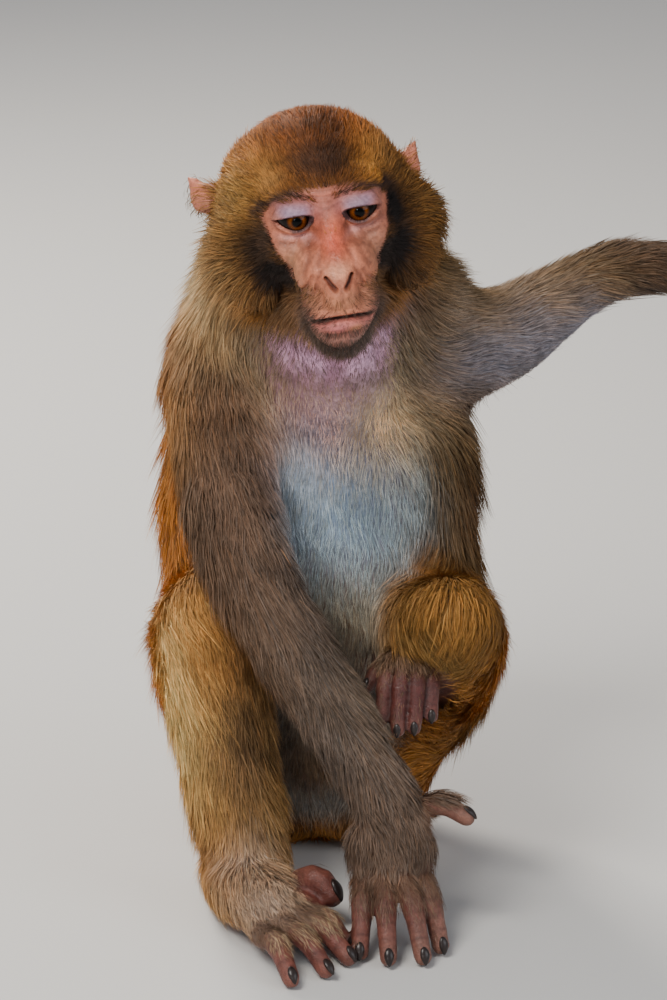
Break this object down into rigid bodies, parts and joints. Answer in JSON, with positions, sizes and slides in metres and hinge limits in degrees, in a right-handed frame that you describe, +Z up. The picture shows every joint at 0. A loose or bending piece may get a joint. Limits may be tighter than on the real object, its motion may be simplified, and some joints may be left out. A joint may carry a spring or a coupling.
{
  "type": "rhesus macaque monkey, life-size museum model",
  "caption": "Life-size museum model of an adult macaque that sits on its rump, one hand down on its fingertips, the other arm held out to the side.",
  "frame": {"origin": "on the floor, on the flat under the rump, below the middle of the trunk", "axes": "+Z up; the animal faces -Y; its left side is at +X"},
  "size_m": [0.4456, 0.4605, 0.4128],
  "materials": {
    "coat": "matte fur, orange-brown and grey-brown",
    "bare_skin": "bare pink-brown skin, soft sheen",
    "eye": "clear gloss over an amber iris"
  },
  "bodies": {
    "root": {"head": "coat", "neck": "coat", "chest": "coat", "abdomen": "coat", "upper_arm_right": "coat", "forearm_right": "coat", "upper_arm_left": "coat", "forearm_left": "coat", "thigh_right": "coat", "shank_right": "coat", "thigh_left": "coat", "shank_left": "coat", "tail_root": "coat", "tail_middle": "coat", "tail_tip": "coat", "hand_right": "bare_skin", "hand_left": "bare_skin", "foot_right": "bare_skin", "foot_left": "bare_skin", "ear_right": "bare_skin", "ear_left": "bare_skin", "eye_right": "eye", "eye_left": "eye"}
  },
  "joints": []
}
